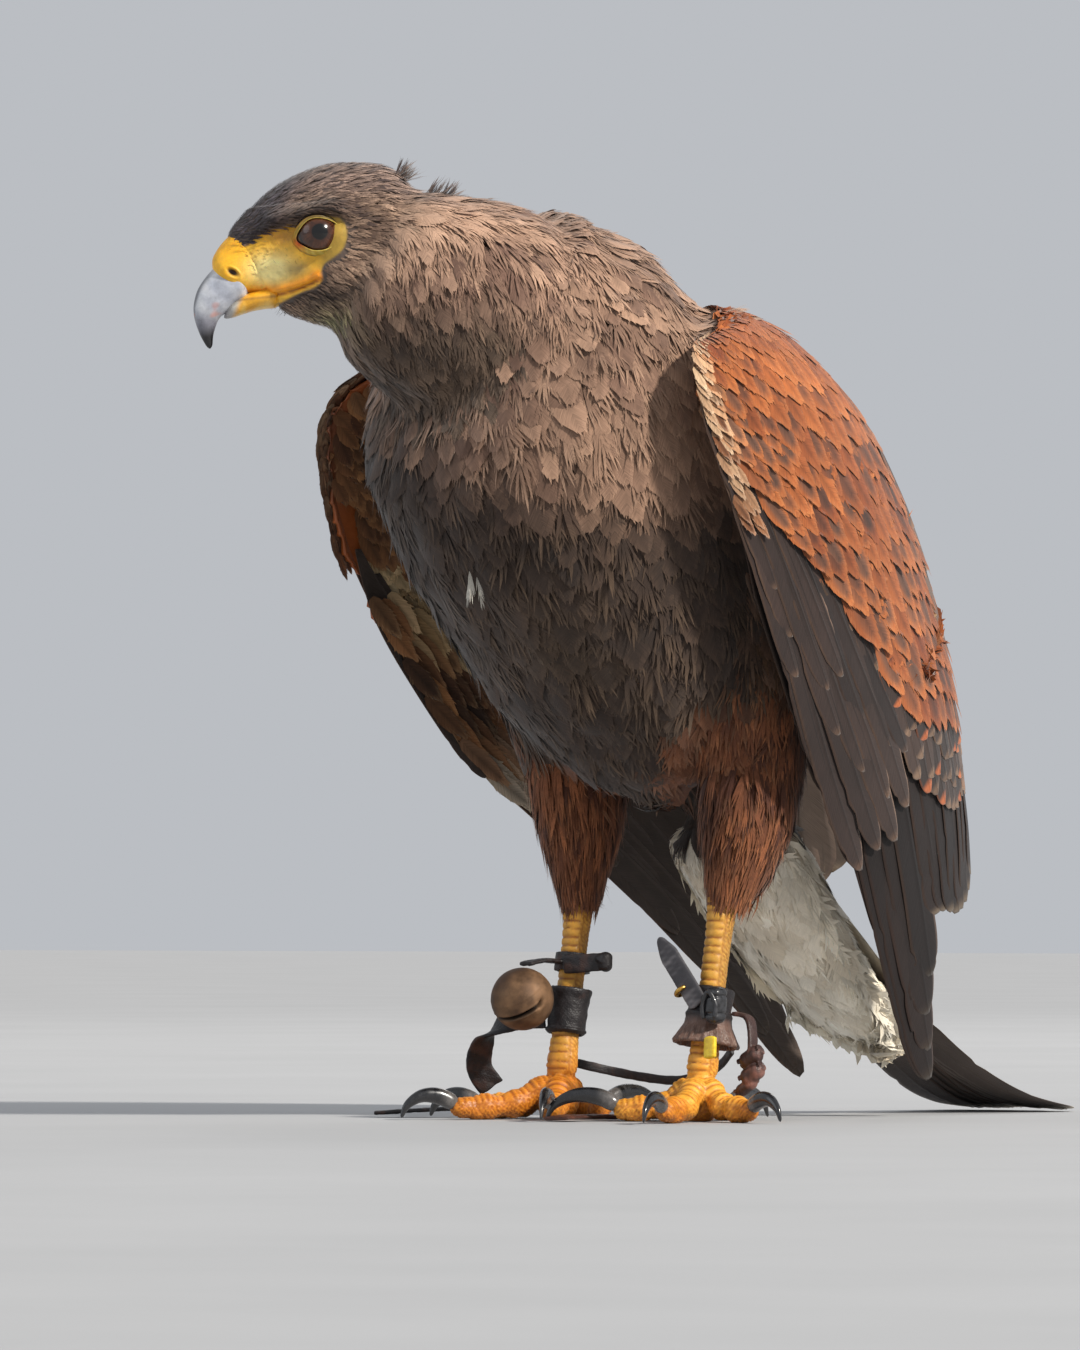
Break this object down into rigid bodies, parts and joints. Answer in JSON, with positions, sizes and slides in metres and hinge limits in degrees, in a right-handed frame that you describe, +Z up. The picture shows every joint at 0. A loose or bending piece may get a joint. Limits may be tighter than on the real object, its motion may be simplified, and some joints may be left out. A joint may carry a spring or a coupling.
{
  "type": "harris's hawk figure",
  "caption": "Still life-size figure of a standing Harris's hawk with its head turned to its right, wings hanging a little open, tail laid on the floor, and leather anklets and a leg bell on.",
  "frame": {"origin": "the middle of the bottom of the bounding box, on the floor that the toes and tail tip rest on", "axes": "+Z up, +Y towards the tail, so the trunk faces -Y, and +X towards the bird's left wing"},
  "size_m": [0.188, 0.3709, 0.3246],
  "materials": {
    "plumage_dark": "matt vaned feathers, chocolate brown with an olive sheen",
    "plumage_head": "matt short feathers, warm taupe brown with dark streaks",
    "plumage_rufous": "matt feathers, chestnut edges on dark brown centres",
    "plumage_flight": "satin flight feathers, brown black with pale edges",
    "plumage_white": "matt downy feathers, cream white",
    "skin_yellow": "scaled satin skin, orange yellow",
    "bill_horn": "smooth horn, blue grey darkening to a black tip",
    "claw_horn": "polished horn, black",
    "eye_brown": "wet clear surface over a dark brown iris and black pupil",
    "leather_dark": "worn satin leather, dark brown to black",
    "leather_grey": "grained leather, grey",
    "bell_bronze": "aged bronze, brushed and smooth",
    "eyelet_brass": "polished brass",
    "tag_plastic": "plain yellow plastic",
    "clip_black": "black plastic"
  },
  "bodies": {
    "root": {"anklet_left": "leather_dark", "anklet_right": "leather_dark", "bell": "bell_bronze", "bell_strap": "leather_dark", "bill_lower": "bill_horn", "bill_upper": "bill_horn", "button_left": "leather_dark", "cere": "skin_yellow", "claw_left_hind": "claw_horn", "claw_left_inner": "claw_horn", "claw_left_middle": "claw_horn", "claw_left_outer": "claw_horn", "claw_right_hind": "claw_horn", "claw_right_inner": "claw_horn", "claw_right_middle": "claw_horn", "claw_right_outer": "claw_horn", "clip_left": "clip_black", "eye_left": "eye_brown", "eye_right": "eye_brown", "eyelet_left": "eyelet_brass", "foot_left": "skin_yellow", "foot_right": "skin_yellow", "head": "plumage_head", "jess_left": "leather_dark", "jess_left_end": "leather_dark", "jess_right": "leather_dark", "jess_right_end": "leather_dark", "neck": "plumage_head", "tab_left": "leather_grey", "tag_left": "tag_plastic", "tail": "plumage_flight", "tarsus_left": "skin_yellow", "tarsus_right": "skin_yellow", "thigh_left": "plumage_rufous", "thigh_right": "plumage_rufous", "trunk": "plumage_dark", "undertail": "plumage_white", "wing_left_arm": "plumage_rufous", "wing_left_quills": "plumage_flight", "wing_left_short": "plumage_flight", "wing_right_arm": "plumage_rufous", "wing_right_quills": "plumage_flight", "wing_right_short": "plumage_flight"}
  },
  "joints": []
}
